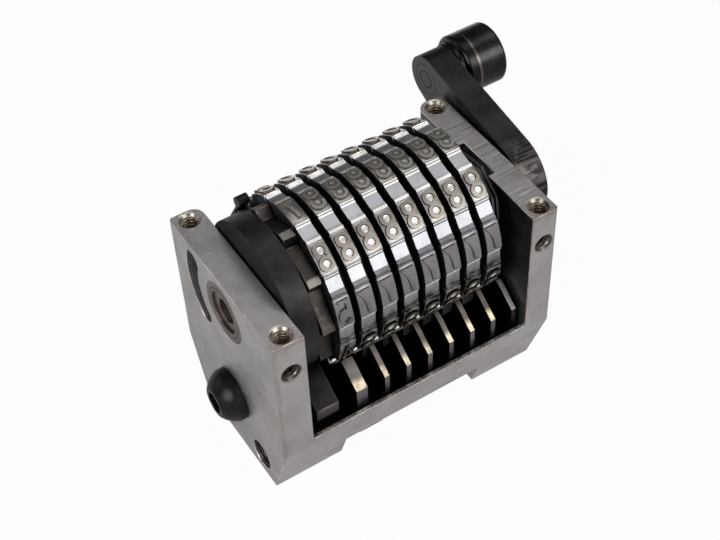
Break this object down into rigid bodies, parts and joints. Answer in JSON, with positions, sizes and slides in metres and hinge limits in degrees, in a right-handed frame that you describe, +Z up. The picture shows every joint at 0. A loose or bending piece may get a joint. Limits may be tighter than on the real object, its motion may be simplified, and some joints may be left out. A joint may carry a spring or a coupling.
{
  "type": "rotary numbering machine",
  "caption": "Press-mounted numbering box: digit wheels on an axle between two cheeks, sprung detent pawls, and a side lever with a cam roller that swings the drive pawl.",
  "frame": {"origin": "middle of the base's underside, halfway between the cheeks' outer faces and halfway front to back", "axes": "+X along the wheel axle toward the lever, +Y from the pawl side to the back, +Z up from the base"},
  "size_m": [0.0771, 0.0473, 0.0534],
  "materials": {
    "body_steel": "ground and lightly stained satin grey steel",
    "wheel_steel": "bright satin steel with ink-stained tan digits",
    "black_oxide": "black oxide with soft sheen",
    "brown_steel": "worn brown-grey hardened steel",
    "dark_steel": "dark oiled steel",
    "pawl_steel": "black sides with bright straw-coloured working edges",
    "spring_steel": "tempered spring steel"
  },
  "bodies": {
    "frame": {"body": "body_steel", "left_bush": "brown_steel", "right_bush": "brown_steel", "pawl_bolt": "black_oxide", "pawl_spacers": "dark_steel", "detent_spring": "spring_steel", "strip_screws": "dark_steel", "channel_key": "black_oxide", "key_screws": "dark_steel", "swing_spring": "spring_steel"},
    "lever": {"axle": "brown_steel", "lever_arm": "black_oxide", "lever_pin": "dark_steel", "roller_stud": "brown_steel", "roller_clip": "spring_steel", "swing_plate_left": "black_oxide", "swing_plate_right": "black_oxide", "plate_pin": "dark_steel", "pawl_shaft": "dark_steel", "stop_stud": "dark_steel", "drive_spring": "spring_steel"},
    "roller": {"cam_roller": "black_oxide"},
    "drive_pawl": {"drive_pawl": "dark_steel"},
    "end_detent": {"unit_detent": "black_oxide"},
    "wheel_1": {"number_wheel_1": "wheel_steel", "ratchet_1": "dark_steel", "unit_ratchet": "brown_steel"},
    "wheel_2": {"number_wheel_2": "wheel_steel", "ratchet_2": "dark_steel"},
    "wheel_3": {"number_wheel_3": "wheel_steel", "ratchet_3": "dark_steel"},
    "wheel_4": {"number_wheel_4": "wheel_steel", "ratchet_4": "dark_steel"},
    "wheel_5": {"number_wheel_5": "wheel_steel", "ratchet_5": "dark_steel"},
    "wheel_6": {"number_wheel_6": "wheel_steel", "ratchet_6": "dark_steel"},
    "wheel_7": {"number_wheel_7": "wheel_steel", "ratchet_7": "dark_steel"},
    "wheel_8": {"number_wheel_8": "wheel_steel", "ratchet_8": "dark_steel"},
    "detent_1": {"detent_1": "pawl_steel"},
    "detent_2": {"detent_2": "pawl_steel"},
    "detent_3": {"detent_3": "pawl_steel"},
    "detent_4": {"detent_4": "pawl_steel"},
    "detent_5": {"detent_5": "pawl_steel"},
    "detent_6": {"detent_6": "pawl_steel"},
    "detent_7": {"detent_7": "pawl_steel"},
    "detent_8": {"detent_8": "pawl_steel"}
  },
  "joints": [
    {"name": "lever_swing", "type": "hinge", "parent": "frame", "child": "lever", "pos_m": [0, 0, 0.0367], "axis": [1, 0, 0], "range_deg": [0, 62], "stiffness_Nm_per_rad": 0.02, "springref_deg": -28.65, "deforming": ["swing_spring"]},
    {"name": "roller_spin", "type": "hinge", "parent": "lever", "child": "roller", "pos_m": [0.03931, 0.02329, 0.04431], "axis": [1, 0, 0], "continuous": true},
    {"name": "drive_pawl_swing", "type": "hinge", "parent": "lever", "child": "drive_pawl", "pos_m": [0, 0.0196, 0.03071], "axis": [1, 0, 0], "range_deg": [-6, 0], "stiffness_Nm_per_rad": 0.006, "springref_deg": 17.19},
    {"name": "end_detent_swing", "type": "hinge", "parent": "frame", "child": "end_detent", "pos_m": [-0.0187, 0.0003, 0.0142], "axis": [1, 0, 0], "range_deg": [0, 5], "stiffness_Nm_per_rad": 0.01, "springref_deg": -17.19},
    {"name": "wheel_1_turn", "type": "hinge", "parent": "frame", "child": "wheel_1", "pos_m": [-0.01369, 0, 0.0367], "axis": [1, 0, 0], "continuous": true},
    {"name": "wheel_2_turn", "type": "hinge", "parent": "frame", "child": "wheel_2", "pos_m": [-0.00935, 0, 0.0367], "axis": [1, 0, 0], "continuous": true},
    {"name": "wheel_3_turn", "type": "hinge", "parent": "frame", "child": "wheel_3", "pos_m": [-0.00501, 0, 0.0367], "axis": [1, 0, 0], "continuous": true},
    {"name": "wheel_4_turn", "type": "hinge", "parent": "frame", "child": "wheel_4", "pos_m": [-0.00067, 0, 0.0367], "axis": [1, 0, 0], "continuous": true},
    {"name": "wheel_5_turn", "type": "hinge", "parent": "frame", "child": "wheel_5", "pos_m": [0.00367, 0, 0.0367], "axis": [1, 0, 0], "continuous": true},
    {"name": "wheel_6_turn", "type": "hinge", "parent": "frame", "child": "wheel_6", "pos_m": [0.00801, 0, 0.0367], "axis": [1, 0, 0], "continuous": true},
    {"name": "wheel_7_turn", "type": "hinge", "parent": "frame", "child": "wheel_7", "pos_m": [0.01235, 0, 0.0367], "axis": [1, 0, 0], "continuous": true},
    {"name": "wheel_8_turn", "type": "hinge", "parent": "frame", "child": "wheel_8", "pos_m": [0.01669, 0, 0.0367], "axis": [1, 0, 0], "continuous": true},
    {"name": "detent_1_swing", "type": "hinge", "parent": "frame", "child": "detent_1", "pos_m": [-0.0116, 0.0003, 0.0142], "axis": [1, 0, 0], "range_deg": [0, 5], "stiffness_Nm_per_rad": 0.004, "springref_deg": -14.32},
    {"name": "detent_2_swing", "type": "hinge", "parent": "frame", "child": "detent_2", "pos_m": [-0.0063, 0.0003, 0.0142], "axis": [1, 0, 0], "range_deg": [0, 5], "stiffness_Nm_per_rad": 0.004, "springref_deg": -14.32},
    {"name": "detent_3_swing", "type": "hinge", "parent": "frame", "child": "detent_3", "pos_m": [-0.00165, 0.0003, 0.0142], "axis": [1, 0, 0], "range_deg": [0, 5], "stiffness_Nm_per_rad": 0.004, "springref_deg": -14.32},
    {"name": "detent_4_swing", "type": "hinge", "parent": "frame", "child": "detent_4", "pos_m": [0.003, 0.0003, 0.0142], "axis": [1, 0, 0], "range_deg": [0, 5], "stiffness_Nm_per_rad": 0.004, "springref_deg": -14.32},
    {"name": "detent_5_swing", "type": "hinge", "parent": "frame", "child": "detent_5", "pos_m": [0.00765, 0.0003, 0.0142], "axis": [1, 0, 0], "range_deg": [0, 5], "stiffness_Nm_per_rad": 0.004, "springref_deg": -14.32},
    {"name": "detent_6_swing", "type": "hinge", "parent": "frame", "child": "detent_6", "pos_m": [0.0123, 0.0003, 0.0142], "axis": [1, 0, 0], "range_deg": [0, 5], "stiffness_Nm_per_rad": 0.004, "springref_deg": -14.32},
    {"name": "detent_7_swing", "type": "hinge", "parent": "frame", "child": "detent_7", "pos_m": [0.01696, 0.0003, 0.0142], "axis": [1, 0, 0], "range_deg": [0, 5], "stiffness_Nm_per_rad": 0.004, "springref_deg": -14.32},
    {"name": "detent_8_swing", "type": "hinge", "parent": "frame", "child": "detent_8", "pos_m": [0.02161, 0.0003, 0.0142], "axis": [1, 0, 0], "range_deg": [0, 5], "stiffness_Nm_per_rad": 0.004, "springref_deg": -14.32}
  ]
}
